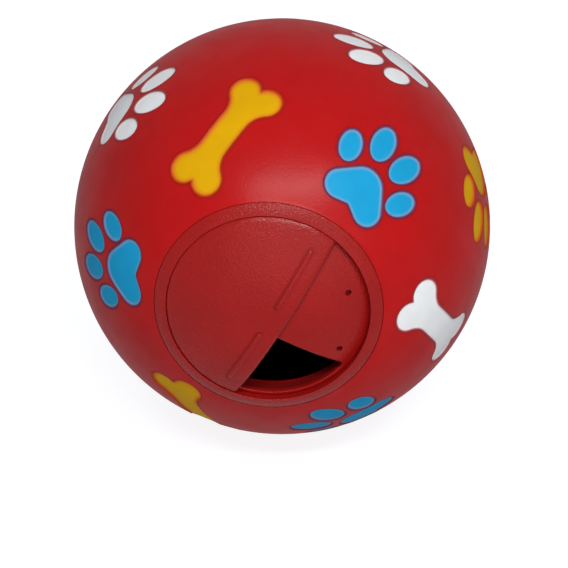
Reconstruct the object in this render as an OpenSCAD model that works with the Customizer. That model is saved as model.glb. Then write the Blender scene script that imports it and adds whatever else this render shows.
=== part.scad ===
// Treat ball: a hollow vinyl ball with a round port, a domed insert with a quarter
// window, and a half-disc shutter that turns over the window to set how fast treats
// fall out. Painted paw prints and bones sit in shallow recesses all over the ball.
//
// The ball stands on the origin, +Z is up and the port looks along -Y.
// Each piece is drawn with the ball's centre at zero and the port's axis along +Z,
// and in_place() then turns the port to the front and lifts the ball onto the floor.

/* [Ball] */
// Outer diameter of the ball
ball_d = 140; // [130:1:160]
// Thickness of the vinyl wall
wall = 3; // [2.4:0.1:4]
// Width of the thick vinyl collar round the port's opening
collar_w = 5; // [4:0.5:8]

/* [Port insert] */
// Outer diameter of the rim's face
rim_d = 73.2; // [68:0.2:80]
// Width of the rim's face
rim_w = 3.75; // [3.4:0.05:6]
// Depth of the rim's face below the ball's surface
rim_drop = 0.05; // [0.05:0.05:0.6]
// Thickness of the rim's flange
flange_t = 2; // [1.6:0.1:2.6]
// Depth of the domed plate's face below the ball's surface
plate_drop = 3; // [2.8:0.1:4]
// Thickness of the domed plate
plate_t = 2.2; // [1.6:0.1:3]
// Height of the skirt below the plate's edge
skirt_h = 8.5; // [7:0.5:12]
// Thickness of the skirt
skirt_t = 2; // [1.6:0.1:2.6]
// How far the snap bead stands out of the skirt
bead = 0.9; // [0.5:0.1:1.5]
// Height of the snap bead
bead_h = 2; // [1.5:0.1:3]
// Gap between the insert and the vinyl
insert_fit = 0.1; // [0.05:0.05:0.3]

/* [Window] */
// Distance of the window's straight edges from the port's axis
window_offset = 5; // [4:0.5:8]
// Width of the ledge between the window's arc and the rim
ledge = 1.6; // [0.8:0.05:2.5]
// Step from the window's arc back to the skirt's inner wall
window_step = 0.2; // [0.1:0.05:0.5]
// Angle of the window's upper edge below the horizontal
window_turn = 30; // [0:5:60]

/* [Shutter] */
// Thickness of the domed half disc
shutter_t = 2.05; // [1.2:0.05:2.2]
// Gap between the half disc and the plate under it
shutter_gap = 0.5; // [0.4:0.05:0.8]
// Gap between the half disc and the rim round it
shutter_fit = 0.3; // [0.2:0.05:0.8]
// Distance of the straight edge past the port's axis
edge_offset = 6.5; // [5:0.1:8]
// Width of the two grip ribs
rib_w = 2.45; // [1.2:0.05:3]
// Distance of the ribs' middle past the port's axis
rib_offset = 1; // [0:0.1:3]
// Distance from the axis to a rib's near end
rib_start = 4.7; // [4:0.1:8]
// Length of a rib
rib_l = 22.4; // [15:0.1:23]

/* [Pivot] */
// Diameter of the shutter's stud
stud_d = 8; // [6:0.5:9]
// Radial running clearance of the stud in its bore
stud_fit = 0.08; // [0.04:0.01:0.1]
// Wall of the hub round the bore
hub_t = 2.3; // [1.5:0.1:2.4]
// Height of the hub from the plate's face
hub_h = 7; // [5:0.5:9]
// How far the stud's snap head stands past the bore
snap_lip = 0.7; // [0.4:0.1:1]
// Height of the snap head
snap_h = 2; // [1.5:0.1:3]
// End play between the snap head and the hub
snap_play = 0.3; // [0.2:0.05:0.5]
// Wall of the hollow stud
stud_wall = 1.6; // [1.2:0.1:2]
// Width of the slots that part the stud into springy legs
slot_w = 1.4; // [0.8:0.1:2]

/* [Click stops] */
// Number of click positions in a full turn
click_count = 8; // [4:1:12]
// Distance of the click holes from the port's axis
click_at = 26.5; // [20:0.5:28]
// Radius of the click holes and of the shutter's ball-shaped pip
click_r = 1; // [0.9:0.05:1.6]
// Depth of a click hole
click_depth = 1.4; // [0.6:0.1:1.5]
// Height of the pip under the shutter
pip_h = 0.3; // [0.1:0.05:0.3]

/* [Motifs] */
// Depth of the painted recesses
recess = 0.6; // [0.3:0.05:1]
// Thickness of the paint
paint_t = 0.25; // [0.15:0.05:0.3]
// Gap between the paint and the recess's floor
paint_seat = 0.03; // [0.02:0.01:0.05]
// Gap between the paint and the recess's sides
paint_edge = 0.1; // [0.05:0.05:0.3]

/* [Paw] */
// Outer toes: sideways from the paw's middle line
outer_toe_x = 12.35; // [11.8:0.05:13]
// Outer toes: up from the paw's middle
outer_toe_y = 0.7; // [0:0.1:1.5]
// Outer toes: half length
outer_toe_l = 6.1; // [5:0.1:6.6]
// Outer toes: half width
outer_toe_w = 4.1; // [3.4:0.1:4.4]
// Outer toes: lean away from the middle line
outer_toe_turn = 22; // [15:1:30]
// Middle toes: sideways from the paw's middle line
middle_toe_x = 5.35; // [5.15:0.05:6]
// Middle toes: up from the paw's middle
middle_toe_y = 10.1; // [9.6:0.1:11]
// Middle toes: half length
middle_toe_l = 7.15; // [6:0.05:7.5]
// Middle toes: half width
middle_toe_w = 4.5; // [4:0.1:4.8]
// Middle toes: lean away from the middle line
middle_toe_turn = 13; // [5:1:18]
// Pad: radius of its two lobes
lobe_r = 5.15; // [4.6:0.05:5.5]
// Pad: lobes' centres, sideways from the middle line
lobe_x = 6.2; // [5.6:0.1:6.5]
// Pad: lobes' centres, below the paw's middle
lobe_y = 10.85; // [10.4:0.05:12]
// Pad: radius of its rounded top
crown_r = 7; // [6:0.1:7.4]
// Pad: centre of its rounded top, below the paw's middle
crown_y = 6.2; // [5.8:0.1:7]
// Pad: the notch between its lobes, below the paw's middle
notch_y = 13.95; // [13.5:0.05:14.5]
// Pad: its turn against the toes, about the middle of its rounded top
pad_turn = 4.5; // [0:0.5:6]

/* [Bone] */
// Radius of the bone's four knobs
knob_r = 5.2; // [4.6:0.1:5.6]
// Knobs' centres, along the bone from its middle
knob_x = 15.7; // [14:0.1:17]
// Knobs' centres, sideways from the bone's middle line
knob_y = 4.4; // [4:0.1:4.5]
// Half width of the shaft
shaft_w = 4.9; // [4:0.1:5.4]
// Radius of the hollow where the shaft runs into a knob
flare_r = 8; // [6:0.5:10]

/* [Hidden] */
$fn = 160;
// Steps along a toe's outline, a round stretch of the pad or a knob, and a flare
TOE_STEPS = 22;
ARC_STEPS = 9;
FLARE_STEPS = 3;
// More than any cut needs
BIG = 2 * ball_d;
// Overlap of shapes that are joined into one piece
JOIN = 0.2;

VINYL_RED = [0.74, 0.08, 0.10];
PLASTIC_RED = [0.64, 0.07, 0.09];
PAINTS = [["blue", [0.13, 0.62, 0.84]], ["white", [0.90, 0.90, 0.91]], ["yellow", [0.88, 0.66, 0.05]]];

ball_r = ball_d / 2;
inner_r = ball_r - wall;
recess_r = ball_r - recess;

// The insert's radii from the axis, and its domes' radii from the ball's centre
rim_r = rim_d / 2;
bore_r = rim_r - rim_w;
window_r = bore_r - ledge;
skirt_in = window_r + window_step;
skirt_out = skirt_in + skirt_t;
rim_dome = ball_r - rim_drop;
seat_dome = rim_dome - flange_t;
plate_dome = ball_r - plate_drop;
skirt_z = height_on(plate_dome, window_r) - skirt_h;
bead_z = skirt_z + bead_h;

// The opening in the vinyl that the insert snaps into
opening_r = skirt_out + insert_fit;
collar_z = bead_z + insert_fit;

// The shutter's domes and outline
shutter_low = plate_dome + shutter_gap;
shutter_high = shutter_low + shutter_t;
shutter_r = bore_r - shutter_fit;

// The stud, its bore and its hub, along the axis
stud_r = stud_d / 2;
stud_bore_r = stud_r + stud_fit;
hub_r = stud_bore_r + hub_t;
hub_z = plate_dome - hub_h;
snap_z = hub_z - snap_play;
slot_top = plate_dome - hub_h / 2;

// Every motif: name, kind, paint, angle from the port's axis, angle round it, and turn.
// A paw's toes point to the port at a turn of zero, and a bone then lies square to that.
MOTIFS = [
    ["yellow_bone_upper", "bone", "yellow", 52, 106, 45],
    ["blue_paw_right", "paw", "blue", 49, 51, 166],
    ["white_bone_right", "bone", "white", 53, -14, 54],
    ["blue_paw_lower", "paw", "blue", 52, -64, 39],
    ["yellow_bone_lower", "bone", "yellow", 51, -119, 131],
    ["blue_paw_left", "paw", "blue", 50, 173, 185],
    ["white_paw_left", "paw", "white", 81, 135, 69],
    ["white_paw_top", "paw", "white", 95, 61, -63],
    ["yellow_paw_right", "paw", "yellow", 83, 15.5, 55],
    ["white_paw_under", "paw", "white", 90, -40, -60],
    ["yellow_paw_under", "paw", "yellow", 88, -153, 60],
    ["white_bone_back_left", "bone", "white", 112, 172, 50],
    ["yellow_bone_back_top", "bone", "yellow", 128, 98, 135],
    ["blue_paw_back_right", "paw", "blue", 122, 22, 170],
    ["white_bone_back_right", "bone", "white", 131, -32, 45],
    ["yellow_paw_back_under", "paw", "yellow", 119, -92, 30],
    ["blue_paw_back_left", "paw", "blue", 132, -146, 190],
    ["white_paw_rear", "paw", "white", 164, 90, 0],
];

// Height along the axis at which a dome of radius dome reaches radius r from the axis
function height_on(dome, r) = sqrt(dome * dome - r * r);

function arc(centre, r, from, to, steps) =
    [for (i = [0:steps])
        let (a = from + (to - from) * i / steps)
        centre + r * [cos(a), sin(a)]];

function flip_x(points) = [for (i = [len(points) - 1:-1:0]) [-points[i][0], points[i][1]]];

function flip_y(points) = [for (i = [len(points) - 1:-1:0]) [points[i][0], -points[i][1]]];

function turned(points, centre, angle) =
    [for (p = points)
        let (q = p - centre)
        centre + [q[0] * cos(angle) - q[1] * sin(angle), q[0] * sin(angle) + q[1] * cos(angle)]];

function paint_colour(name) = PAINTS[search([name], PAINTS)[0]][1];

// An oval toe; grow moves its outline outwards
function toe(side, x, y, half_l, half_w, lean, grow) =
    [for (i = [0:TOE_STEPS - 1])
        let (a = 360 * i / TOE_STEPS, u = (half_w + grow) * cos(a), v = (half_l + grow) * sin(a))
        [side * (x + u * cos(lean) + v * sin(lean)), y - u * sin(lean) + v * cos(lean)]];

// A heart-shaped pad: a round crown, straight sides and two lobes with a notch between.
// It sits a little askew under the toes.
function pad(grow) =
    let (
        lobe = [lobe_x, -lobe_y],
        crown = [0, -crown_y],
        up = crown - lobe,
        side_normal = atan2(up[1], up[0]) - 90 + asin((lobe_r - crown_r) / norm(up)),
        out = lobe - [0, -notch_y],
        notch_line = atan2(out[1], out[0]) - asin(lobe_r / norm(out)),
        right = concat(
            arc(crown, crown_r + grow, 90, side_normal, ARC_STEPS),
            arc(lobe, lobe_r + grow, side_normal, notch_line - 90, ARC_STEPS)
        ),
        notch = [0, -notch_y - grow / cos(notch_line)],
        left = flip_x([for (i = [1:len(right) - 1]) right[i]])
    )
    turned(concat(right, [notch], left), crown, pad_turn);

// A bone: four knobs, with a straight shaft that flares into them
function bone(grow) =
    let (
        knob = [knob_x, knob_y],
        flare_y = shaft_w + flare_r,
        flare = [knob_x - sqrt(pow(flare_r + knob_r, 2) - pow(flare_y - knob_y, 2)), flare_y],
        to_flare = atan2(flare[1] - knob[1], flare[0] - knob[0]),
        quarter = concat(
            arc(knob, knob_r + grow, -asin(knob_y / (knob_r + grow)), to_flare, 2 * ARC_STEPS),
            [for (i = [1:FLARE_STEPS])
                let (a = to_flare - 180 - (to_flare - 90) * i / FLARE_STEPS)
                flare + (flare_r - grow) * [cos(a), sin(a)]]
        ),
        half = concat(
            quarter,
            flip_x([for (i = [1:len(quarter) - 1]) quarter[i]]),
            flip_x([quarter[0]])
        )
    )
    concat(half, flip_y([for (i = [1:len(half) - 2]) half[i]]));

// The closed outlines of a motif
function outlines(kind, grow) =
    kind == "bone" ? [bone(grow)] :
    concat(
        [pad(grow)],
        [for (side = [-1, 1])
            toe(side, outer_toe_x, outer_toe_y, outer_toe_l, outer_toe_w, outer_toe_turn, grow)],
        [for (side = [-1, 1])
            toe(side, middle_toe_x, middle_toe_y, middle_toe_l, middle_toe_w, middle_toe_turn, grow)]
    );

module in_place() translate([0, 0, ball_r]) rotate([90, 0, 0]) children();

// The part of a profile that rotate_extrude turns: right of the axis
module right_half() intersection() {
    children();
    translate([0, -BIG]) square([BIG, 2 * BIG]);
}

// A dome's profile, between two radii from the ball's centre and two from the axis
module dome_profile(low, high, from, to) intersection() {
    difference() {
        circle(r = high);
        circle(r = low);
    }
    translate([from, 0]) square([to - from, BIG]);
}

module dome(low, high) difference() {
    sphere(r = high);
    sphere(r = low);
}

// A motif's columns, standing out of the ball where the motif sits
module motif_columns(m, grow)
    rotate([0, m[3], m[4]]) rotate(90 + m[5])
    for (outline = outlines(m[1], grow))
        translate([0, 0, ball_r / 2]) linear_extrude(ball_r) polygon(outline);

module shell_profile() difference() {
    union() {
        right_half() difference() {
            circle(r = ball_r);
            circle(r = inner_r);
        }
        intersection() {
            translate([opening_r - JOIN, collar_z]) square([collar_w + JOIN, BIG]);
            circle(r = inner_r + wall / 2);
        }
    }
    square([opening_r, BIG]);
    difference() {
        square([rim_r + insert_fit, BIG]);
        circle(r = seat_dome - insert_fit);
    }
}

module ball_shell() color(VINYL_RED) in_place() difference() {
    rotate_extrude() shell_profile();
    for (m = MOTIFS) difference() {
        motif_columns(m, 0);
        sphere(r = recess_r);
    }
}

module insert_profile() {
    dome_profile(seat_dome, rim_dome, bore_r, rim_r);
    dome_profile(plate_dome - plate_t, plate_dome, 0, bore_r + JOIN);
    intersection() {
        translate([skirt_in, skirt_z]) square([skirt_t, BIG]);
        union() {
            circle(r = plate_dome);
            intersection() {
                circle(r = seat_dome + flange_t / 2);
                translate([bore_r, 0]) square(BIG);
            }
        }
    }
    polygon([
        [skirt_out - JOIN, skirt_z],
        [skirt_out, skirt_z],
        [skirt_out + bead, skirt_z + bead_h / 2],
        [skirt_out + bead, bead_z],
        [skirt_out - JOIN, bead_z],
    ]);
}

// The quarter window, with its first edge turned down from the horizontal
module window() rotate(-window_turn) intersection() {
    cylinder(r = window_r, h = BIG);
    translate([window_offset, -BIG - window_offset, 0]) cube(BIG);
}

module click_holes()
    for (i = [0:click_count - 1])
        rotate(-window_turn + 360 * i / click_count)
        translate([click_at, 0, height_on(plate_dome, click_at) - click_depth])
        cylinder(r = click_r, h = BIG, $fn = 48);

module port_insert() color(PLASTIC_RED) in_place() difference() {
    union() {
        difference() {
            rotate_extrude() insert_profile();
            window();
            click_holes();
        }
        translate([0, 0, hub_z]) cylinder(r = hub_r, h = hub_h - plate_t / 2);
    }
    cylinder(r = stud_bore_r, h = BIG);
}

module grip_ribs() intersection() {
    dome(shutter_high - JOIN, ball_r);
    for (side = [-1, 1])
        translate([rib_offset, side * (rib_start + rib_l / 2), BIG / 2])
        cube([rib_w, rib_l, BIG], center = true);
}

// The hollow stud with its snap head, slotted into springy legs
module stud() difference() {
    union() {
        translate([0, 0, snap_z]) cylinder(r = stud_r, h = shutter_low - snap_z + JOIN);
        translate([0, 0, snap_z - snap_h]) cylinder(r1 = stud_r, r2 = stud_r + snap_lip, h = snap_h);
    }
    cylinder(r = stud_r - stud_wall, h = slot_top);
    for (turn = [0, 90])
        rotate(turn) translate([-BIG / 2, -slot_w / 2, 0]) cube([BIG, slot_w, slot_top]);
}

// The half disc in the photographed place, clear of the window
module shutter() color(PLASTIC_RED) in_place() rotate(-window_turn) {
    difference() {
        rotate_extrude() dome_profile(shutter_low, shutter_high, 0, shutter_r);
        translate([edge_offset, -BIG / 2, 0]) cube(BIG);
    }
    grip_ribs();
    stud();
    translate([-click_at, 0, height_on(shutter_low + click_r - pip_h, click_at)])
        sphere(r = click_r, $fn = 48);
}

// The paint of one motif, in its recess
module motif_paint(m) color(paint_colour(m[2])) in_place() intersection() {
    motif_columns(m, -paint_edge);
    dome(recess_r + paint_seat, recess_r + paint_seat + paint_t);
}

ball_shell();
port_insert();
shutter();
for (m = MOTIFS) motif_paint(m);
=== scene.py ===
# %% [markdown]
# # A treat ball
# This is a hollow vinyl ball for dogs. It is filled through a round port, and a half-disc
# shutter in the port sets how wide its window stands open. Paw prints and bones are pressed
# into the vinyl and painted. The lesson dresses the CAD model piece by piece, so it starts by
# loading that model. The sizes and places below are the model's own, apart from rounded edges
# and from seams that are a tenth of a millimetre or so tighter.

# %% The frame
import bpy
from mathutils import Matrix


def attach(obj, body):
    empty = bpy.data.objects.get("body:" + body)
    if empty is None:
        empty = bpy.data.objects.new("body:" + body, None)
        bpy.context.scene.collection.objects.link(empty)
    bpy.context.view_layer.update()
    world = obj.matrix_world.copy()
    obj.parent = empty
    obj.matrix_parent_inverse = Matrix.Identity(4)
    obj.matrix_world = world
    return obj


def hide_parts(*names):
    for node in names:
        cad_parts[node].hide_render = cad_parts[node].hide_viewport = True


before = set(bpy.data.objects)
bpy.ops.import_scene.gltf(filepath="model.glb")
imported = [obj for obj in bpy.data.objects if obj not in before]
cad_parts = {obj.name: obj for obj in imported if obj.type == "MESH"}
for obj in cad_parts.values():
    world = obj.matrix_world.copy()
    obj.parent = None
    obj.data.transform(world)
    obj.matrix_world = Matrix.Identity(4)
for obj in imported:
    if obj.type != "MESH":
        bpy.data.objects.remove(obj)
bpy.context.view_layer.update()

print("CAD nodes:", len(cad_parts))

# %% [markdown]
# ## Where things are
# The port is turned on one axis, so its pieces are easiest to describe with that axis upright
# and the ball's centre at zero, in millimetres. One function then lays such points down in the
# model's own frame, where the port looks to the front and the ball stands on the floor. Doing
# this once, at the end of each piece, keeps the formulas short.

# %% Libraries, the ball's radius and its place
import math

import bmesh
import bpy
import numpy as np
from mathutils import Euler, Vector
from mathutils.geometry import delaunay_2d_cdt

MM = 0.001
BALL_R = 70.0
SKIN_R = BALL_R - 0.04


def in_place(points):
    """Points of the upright port, in millimetres, as points of the model in metres."""
    points = np.asarray(points, float)
    return MM * np.column_stack([points[:, 0], -points[:, 2], points[:, 1] + BALL_R])


print("the far side of the ball lies at", in_place([[0, 0, -BALL_R]])[0].tolist())

# %% [markdown]
# ## The camera
# A product picture is taken from a little above and from about a metre away, with a long lens,
# so that a ball keeps round. The camera's place follows from how far the round port looks
# squashed in the picture, and its lens from the size of the ball in it.

# %% The camera
camera = bpy.data.objects.new("camera", bpy.data.cameras.new("camera"))
camera.data.sensor_width = 36.0
camera.data.lens = 187.92
camera.location = (0.06684, -0.90014, 0.50045)
camera.rotation_euler = (math.radians(63.393), 0.0, math.radians(4.207))
bpy.context.scene.collection.objects.link(camera)
bpy.context.scene.camera = camera
print("camera lens:", camera.data.lens)

# %% [markdown]
# ## Nodes in few words
# Finishes and shapes are both made by node trees here. Written out, every input of a node takes
# a line of its own, so a few helpers take that up: one adds a node and sets its inputs, and two
# do sums on numbers and on vectors. An input gets a link from another node or a plain value.

# %% Helpers for all node trees
def plug(tree, node, inputs):
    """Sets a node's inputs, by name or number: a socket is linked, and a plain value written in."""
    for name, value in inputs.items():
        if isinstance(value, bpy.types.NodeSocket):
            tree.links.new(value, node.inputs[name])
        else:
            node.inputs[name].default_value = value


def add_node(tree, kind, inputs=None, **settings):
    """A new node with its settings and inputs."""
    node = tree.nodes.new(kind)
    for name, value in settings.items():
        setattr(node, name, value)
    plug(tree, node, inputs or {})
    return node


def sums(tree, operation, *values):
    """The result of a Math node on sockets or plain numbers."""
    return add_node(tree, "ShaderNodeMath", dict(enumerate(values)), operation=operation).outputs[0]


def vectors(tree, operation, *values):
    """The result of a Vector Math node; a Scale takes its factor last."""
    names = (0, "Scale") if operation == "SCALE" else range(len(values))
    node = add_node(tree, "ShaderNodeVectorMath", dict(zip(names, values)), operation=operation)
    return node.outputs["Value" if operation == "LENGTH" else "Vector"]


print("node helpers:", [helper.__name__ for helper in (plug, add_node, sums, vectors)])

# %% [markdown]
# ## Red vinyl
# The ball is cast from soft vinyl with the colour right through it. It has a satin sheen, a
# very slight unevenness that only a broad reflection shows, and a little cloudiness in its
# colour. The sheen could be the shader's own gloss, but that turns white along the outline, and
# this vinyl hardly does, so it is a thin coat that covers about a quarter of the surface. Noises
# on Object coordinates, which keep the pattern still on the ball, drive the rest: slow ones the
# cloudiness and the coat, and a quick, shallow one the skin. The skin also carries its distance
# from the nearest motif as an attribute. It darkens the red in a narrow band round each motif.
# Marks far below zero stand for plain skin, for the lip round the port and for the inside. The
# lip and the inside are painted darker, as painted shade: a little in the crevice under the
# insert's rim, and nearly black in the hollow of the ball.

# %% Helpers for finishes, and the vinyl
NOISE_LOW, NOISE_HIGH = 0.3, 0.7


def new_finish(name, values):
    """A material with its shader's plain values set; returns it, its node tree and its shader."""
    material = bpy.data.materials.new(name)
    material.use_nodes = True
    shader = material.node_tree.nodes["Principled BSDF"]
    plug(material.node_tree, shader, values)
    return material, material.node_tree, shader


def noise(tree, scale, detail):
    """A noise on the piece's Object coordinates, at a scale in waves a metre."""
    place = add_node(tree, "ShaderNodeTexCoord").outputs["Object"]
    inputs = {"Vector": place, "Scale": scale, "Detail": detail}
    return add_node(tree, "ShaderNodeTexNoise", inputs).outputs["Fac"]


def spread(tree, factor, low, high, start=NOISE_LOW, end=NOISE_HIGH):
    """A number that runs from low to high as another, such as a noise, runs from start to end."""
    inputs = {"Value": factor, "From Min": start, "From Max": end, "To Min": low, "To Max": high}
    return add_node(tree, "ShaderNodeMapRange", inputs).outputs["Result"]


def ramp(tree, factor, stops):
    """A colour that follows a number from stop to stop."""
    node = add_node(tree, "ShaderNodeValToRGB", {"Fac": factor})
    elements = node.color_ramp.elements
    for i, (spot, colour) in enumerate(stops):
        stop = elements[i] if i < 2 else elements.new(spot)
        stop.position = spot
        stop.color = (*colour, 1.0)
    return node.outputs["Color"]


def clouded(tree, scale, detail, low, high):
    """A colour that drifts between two shades with a noise."""
    return ramp(tree, noise(tree, scale, detail), [(NOISE_LOW, low), (NOISE_HIGH, high)])


def bumps(tree, height, depth_mm, strength):
    """A bump of a given depth."""
    inputs = {"Height": height, "Distance": depth_mm * MM, "Strength": strength}
    return add_node(tree, "ShaderNodeBump", inputs).outputs["Normal"]


def carried(tree, name):
    """A number that the mesh carries at its points."""
    return add_node(tree, "ShaderNodeAttribute", attribute_name=name).outputs["Fac"]


PLAIN_MARK, LIP_MARK, INSIDE_MARK = -9.0, -14.0, -20.0
vinyl, tree, shader = new_finish(
    "red_vinyl", {"Roughness": 0.35, "Specular IOR Level": 0.0, "Coat Roughness": 0.30}
)
red = clouded(tree, scale=45.0, detail=3.0, low=(0.40, 0.0046, 0.0052), high=(0.448, 0.0052, 0.0058))
edge = carried(tree, "edge_mm")
# The red is darker in a narrow band round each motif.
darker_band_round_motifs = spread(tree, edge, low=0.82, high=1.0, start=-0.35, end=-1.4)
# Painted shade: the lip round the port is darker, and the inside of the ball nearly black.
painted_shade_inside = spread(tree, edge, low=0.06, high=1.0, start=LIP_MARK - 2.0, end=LIP_MARK + 2.0)
skin = bumps(tree, noise(tree, scale=1500.0, detail=1.0), depth_mm=0.09, strength=0.5)
plug(tree, shader, {
    "Base Color": vectors(tree, "SCALE", vectors(tree, "SCALE", red, darker_band_round_motifs), painted_shade_inside),
    "Coat Weight": spread(tree, noise(tree, scale=120.0, detail=3.0), low=0.20, high=0.26),
    "Normal": skin,
    "Coat Normal": skin,
})
print("finish:", vinyl.name)

# %% [markdown]
# ## Grained plastic
# The port's insert and its shutter are stiff mouldings. Their mould was spark-eroded, which
# leaves a fine even grain that scatters light and sparkles where the light grazes it. A fine
# noise drives a shallow bump for the grain, and a second one varies the sheen. Handling has
# rubbed the rounded edges smooth. The pieces carry a number for that, above zero on a rubbed
# edge, and below zero in creases, hollows and under the plate, where the surface is duller and
# its colour is painted darker, as painted shade.

# %% The grained plastic
plastic, tree, shader = new_finish("grained_plastic", {"IOR": 1.49, "Specular IOR Level": 0.14})
red = clouded(tree, scale=60.0, detail=2.0, low=(0.281, 0.0062, 0.0050), high=(0.316, 0.0073, 0.0060))
wear = carried(tree, "wear")
# Below zero the colour is painted darker, as painted shade in creases, hollows and under the plate.
painted_crease_shade = spread(tree, wear, low=0.35, high=1.0, start=-1.0, end=0.0)
rubbed = spread(tree, wear, low=1.0, high=0.5, start=0.0, end=1.0)
dulled = spread(tree, wear, low=3.0, high=1.0, start=-1.0, end=0.0)
sheen = spread(tree, noise(tree, scale=1500.0, detail=1.0), low=0.19, high=0.29)
grain = sums(tree, "MULTIPLY", noise(tree, scale=1650.0, detail=1.0), rubbed)
plug(tree, shader, {
    "Base Color": vectors(tree, "SCALE", red, painted_crease_shade),
    "Roughness": sums(tree, "MULTIPLY", sums(tree, "MULTIPLY", sheen, rubbed), dulled),
    "Normal": bumps(tree, grain, depth_mm=0.20, strength=0.9),
})
print("finish:", plastic.name)

# %% [markdown]
# ## Spray paint
# The motifs are sprayed through a mask. The paint is even and satin, but at its border it thins
# out over the lip, and there the red of the vinyl shows through: brown round the yellow, violet
# round the blue, dark pink round the white. A little further in, on the slope of the recess, the
# paint is paler all round, most in the blue: a painted highlight. Each point of a motif carries
# its distance from the border as an attribute, and a ramp on that attribute sets the colour. A
# slow noise clouds it. The sheen is a thin, partial coat, as on the vinyl.

# %% The three paints
EDGE_FROM, EDGE_TO = -0.5, 2.0


def paint_finish(name, stops):
    """A paint whose colour follows the distance from its border, through stops in millimetres."""
    material, tree, shader = new_finish(
        name, {"Roughness": 0.39, "Specular IOR Level": 0.0, "Coat Roughness": 0.39}
    )
    inwards = spread(tree, carried(tree, "edge_mm"), low=0.0, high=1.0, start=EDGE_FROM, end=EDGE_TO)
    stops = [((edge_mm - EDGE_FROM) / (EDGE_TO - EDGE_FROM), shade) for edge_mm, shade in stops]
    cloud = spread(tree, noise(tree, scale=160.0, detail=3.0), low=0.94, high=1.0)
    film = bumps(tree, noise(tree, scale=1300.0, detail=2.0), depth_mm=0.015, strength=0.4)
    plug(tree, shader, {
        "Base Color": vectors(tree, "SCALE", ramp(tree, inwards, stops), cloud),
        "Coat Weight": spread(tree, noise(tree, scale=300.0, detail=2.0), low=0.10, high=0.14),
        "Normal": film,
        "Coat Normal": film,
    })
    return material


PAINTS = {
    "blue": paint_finish("blue_paint", [
        (-0.05, (0.15, 0.022, 0.065)),
        (0.20, (0.12, 0.085, 0.17)),
        # The paler blue on the recess's slope is a painted highlight.
        (0.50, (0.16, 0.31, 0.50)),
        (1.40, (0.012, 0.325, 0.61)),
    ]),
    "white": paint_finish("white_paint", [
        (-0.05, (0.30, 0.060, 0.070)),
        (0.15, (0.45, 0.22, 0.23)),
        (0.45, (0.86, 0.76, 0.78)),
        (1.00, (0.87, 0.89, 0.91)),
    ]),
    "yellow": paint_finish("yellow_paint", [
        (-0.10, (0.42, 0.030, 0.004)),
        (0.30, (0.52, 0.10, 0.009)),
        (0.65, (0.67, 0.20, 0.012)),
        (1.80, (0.69, 0.37, 0.003)),
    ]),
}
print("finishes:", [p.name for p in PAINTS.values()])

# %% [markdown]
# ## Outlines
# Every flat shape here is a closed outline: the toes and pads of the paws, the bones, the
# window and the shutter. They are drawn from arcs, as a pattern maker would with a compass,
# in the same sizes as the CAD model. An outline that runs anticlockwise has the shape on its
# left, which lets one function move any outline into or out of its shape.

# %% Arcs and even steps
RING_SLACK, FEWEST_STEPS = 0.05, 12


def arc(centre, radius, start, end, steps=24):
    """Points on an arc, with its angles in degrees."""
    angles = np.radians(np.linspace(start, end, steps + 1))
    return np.asarray(centre) + radius * np.column_stack([np.cos(angles), np.sin(angles)])


def even_steps(outline, spacing):
    """An anticlockwise outline with its points at even steps."""
    following = np.roll(outline, -1, axis=0)
    area = (outline[:, 0] * following[:, 1] - following[:, 0] * outline[:, 1]).sum()
    if area < 0:
        outline = outline[::-1]
    ends = np.vstack([outline, outline[:1]])
    run = np.concatenate([[0.0], np.cumsum(np.hypot(*np.diff(ends, axis=0).T))])
    at = np.linspace(0.0, run[-1], max(FEWEST_STEPS, round(run[-1] / spacing)), endpoint=False)
    return np.column_stack([np.interp(at, run, ends[:, 0]), np.interp(at, run, ends[:, 1])])


def moved_in(outline, distance):
    """An outline's points, each moved square to it, into the shape on its left."""
    ahead = np.roll(outline, -1, axis=0) - np.roll(outline, 1, axis=0)
    ahead /= np.hypot(ahead[:, 0], ahead[:, 1])[:, None]
    return outline + distance * np.column_stack([-ahead[:, 1], ahead[:, 0]])


def depth_inside(points, outlines):
    """How deep flat points lie inside a shape: the distance to its outlines, negative outside."""
    nearest = np.full(len(points), np.inf)
    inside = np.zeros(len(points), bool)
    for start in outlines:
        along = np.roll(start, -1, axis=0) - start
        gap = points[:, None, :] - start[None, :, :]
        share = np.clip((gap * along).sum(2) / (along * along).sum(1), 0.0, 1.0)
        off = gap - share[:, :, None] * along
        nearest = np.minimum(nearest, np.sqrt((off * off).sum(2).min(1)))
        crossed = (gap[:, :, 1] < 0) != (gap[:, :, 1] < along[:, 1])
        rise = np.where(along[:, 1] == 0, 1.0, along[:, 1])
        left = gap[:, :, 0] < gap[:, :, 1] * along[:, 0] / rise
        inside ^= (crossed & left).sum(1) % 2 == 1
    return np.where(inside, nearest, -nearest)


def ring_at(outlines, distance):
    """The points at a distance inside each outline, without those that run into one another."""
    rings = [moved_in(o, distance) for o in outlines]
    return [ring[np.abs(depth_inside(ring, outlines) - distance) < RING_SLACK] for ring in rings]


square = np.array([[0.0, 0.0], [2.0, 0.0], [2.0, 2.0], [0.0, 2.0]])
print("depth of a square's middle:", depth_inside(np.array([[1.0, 1.0]]), [square]))

# %% [markdown]
# ## Paws and bones
# A paw print is a heart-shaped pad and four oval toes; a bone is a shaft with two knobs at
# each end. Both are plain symbols. The pad's sides are the straight lines that touch its round
# crown and its lobes, and it sits a little askew under the toes. The bone's shaft flares into its
# knobs on arcs.

# %% The motifs' outlines
def toe(side, x, y, half_length, half_width, lean):
    """An oval that leans to its side by an angle in degrees."""
    around = np.radians(np.arange(0, 360, 5))
    u = half_width * np.cos(around)
    v = half_length * np.sin(around)
    lean = math.radians(lean)
    return np.column_stack([
        side * (x + u * math.cos(lean) + v * math.sin(lean)),
        y - u * math.sin(lean) + v * math.cos(lean),
    ])


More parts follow.
